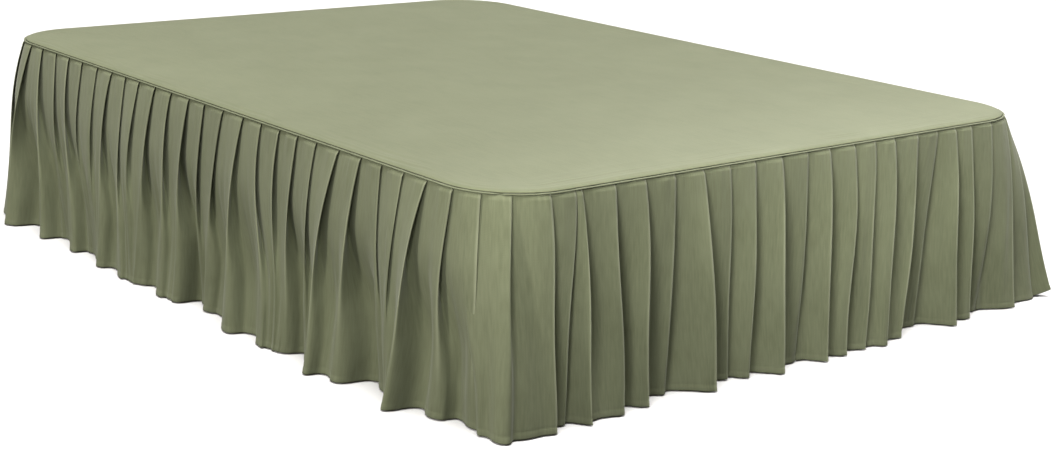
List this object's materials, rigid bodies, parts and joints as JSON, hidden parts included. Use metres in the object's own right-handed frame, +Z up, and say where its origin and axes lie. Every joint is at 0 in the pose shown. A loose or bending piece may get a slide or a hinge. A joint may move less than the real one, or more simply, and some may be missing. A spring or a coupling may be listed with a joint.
{
  "type": "bed skirt on a bed base",
  "caption": "Knife-pleated cloth bed skirt with a flat top sheet and a narrow welt, fitted over a plain rectangular bed base on feet, its hem flaring in uneven folds.",
  "frame": {"origin": "on the floor, under the middle of the whole part's bounding box", "axes": "+Z up, +Y towards the head of the bed, -Y towards its foot side, +X to the right seen from the foot"},
  "size_m": [1.7478, 2.1922, 0.442],
  "materials": {
    "top_cloth": "plain sage green weave, matt",
    "welt_cloth": "the same weave sewn as a narrow ridge",
    "drop_cloth": "plain sage green weave, pressed into pleats, matt",
    "base_wood": "plain, unpainted",
    "leg_wood": "dark, satin"
  },
  "bodies": {
    "root": {"platform": "top_cloth", "seam_band": "welt_cloth", "drop_foot": "drop_cloth", "drop_left": "drop_cloth", "drop_right": "drop_cloth", "drop_head": "drop_cloth", "bed_base": "base_wood", "leg_foot_left": "leg_wood", "leg_foot_right": "leg_wood", "leg_middle_left": "leg_wood", "leg_middle_right": "leg_wood", "leg_head_left": "leg_wood", "leg_head_right": "leg_wood"}
  },
  "joints": []
}
